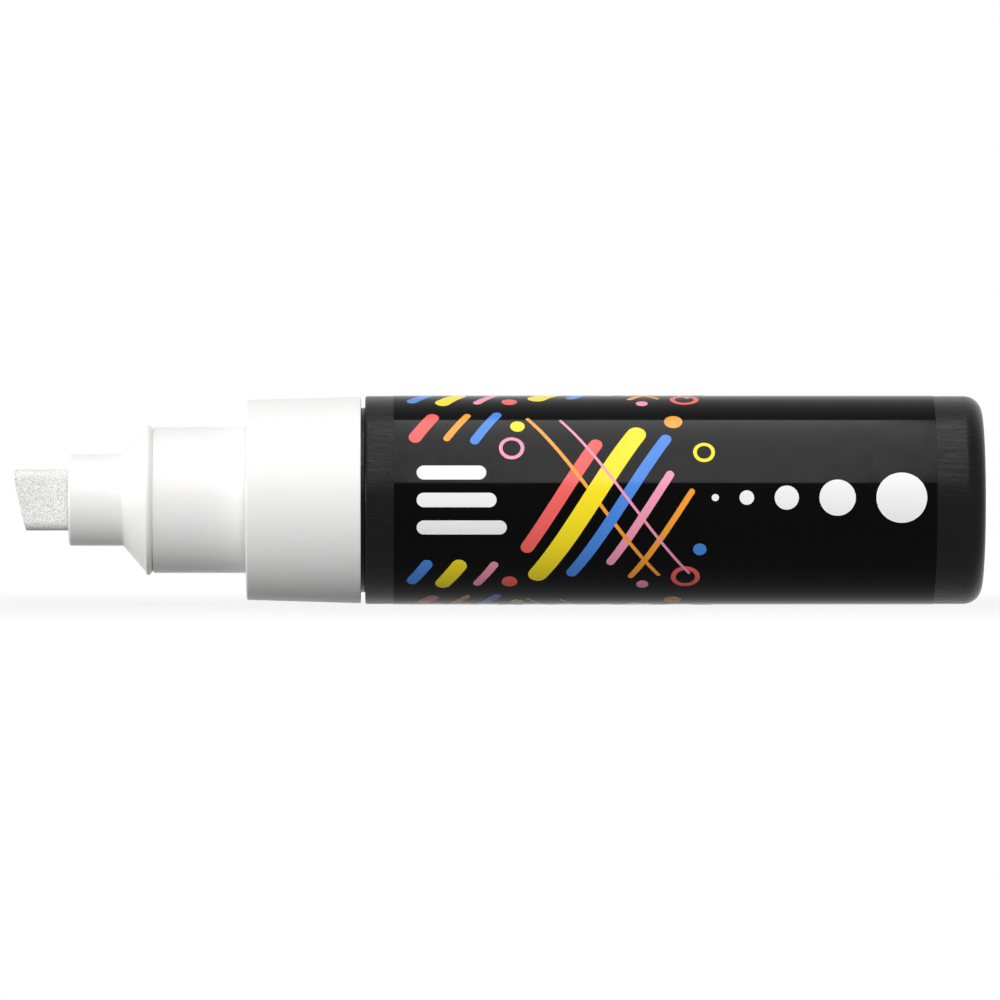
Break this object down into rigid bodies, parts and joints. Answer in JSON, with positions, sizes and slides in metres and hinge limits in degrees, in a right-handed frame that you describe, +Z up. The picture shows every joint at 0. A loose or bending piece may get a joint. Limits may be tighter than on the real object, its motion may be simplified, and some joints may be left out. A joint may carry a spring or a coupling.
{
  "type": "acrylic paint marker",
  "caption": "Wide refillable acrylic paint marker with its cap off: round black tank, white grip and nozzle, felt block nib on a spring valve.",
  "frame": {"origin": "middle of the bottom of the marker's box, as it lies on its side", "axes": "the marker lies along X with its nib towards -X and its tail towards +X, +Z up; the nib's long corner is on top"},
  "size_m": [0.161, 0.0348, 0.0349],
  "materials": {
    "black_tank": "satin black, fine lengthwise streaks",
    "label_film": "glossy black film with a printed design",
    "white_head": "white moulded plastic, smooth",
    "nib_fibre": "dense white fibre, matt and grainy",
    "natural_plastic": "natural moulded plastic, satin",
    "soft_seal": "soft black rubber",
    "spring_steel": "bright drawn wire",
    "ball_steel": "polished steel"
  },
  "bodies": {
    "reservoir": {"tank": "black_tank", "label_sleeve": "label_film"},
    "gasket": {"neck_gasket": "soft_seal"},
    "head": {"head_shell": "white_head", "nozzle": "white_head", "valve_body": "natural_plastic", "body_seal": "soft_seal", "valve_cage": "natural_plastic", "valve_spring": "spring_steel"},
    "push_valve": {"nib_carrier": "natural_plastic", "valve_stem": "natural_plastic", "valve_washer": "soft_seal"},
    "writing_nib": {"nib": "nib_fibre"},
    "front_ball": {"mixing_ball_front": "ball_steel"},
    "rear_ball": {"mixing_ball_rear": "ball_steel"}
  },
  "joints": [
    {"name": "head_travel", "type": "slide", "parent": "reservoir", "child": "gasket", "axis": [-1, 0, 0], "range_m": [0, 0.02401]},
    {"name": "head_screw", "type": "hinge", "parent": "gasket", "child": "head", "pos_m": [0, 0, 0.01745], "axis": [-1, 0, 0], "range_deg": [0, 2880]},
    {"name": "nib_press", "type": "slide", "parent": "head", "child": "push_valve", "axis": [1, 0, 0], "range_m": [0, 0.0035], "stiffness_N_per_m": 1200, "springref_m": -0.003, "deforming": ["valve_spring"]},
    {"name": "nib_draw", "type": "slide", "parent": "push_valve", "child": "writing_nib", "axis": [-1, 0, 0], "range_m": [0, 0.014]},
    {"name": "front_ball_roll", "type": "slide", "parent": "reservoir", "child": "front_ball", "axis": [1, 0, 0], "range_m": [-0.02, 0.016]},
    {"name": "rear_ball_roll", "type": "slide", "parent": "reservoir", "child": "rear_ball", "axis": [1, 0, 0], "range_m": [-0.016, 0.0235]}
  ],
  "couplings": [
    {"joint": "head_travel", "follows": "head_screw", "m_per_rad": 0.00047746}
  ]
}
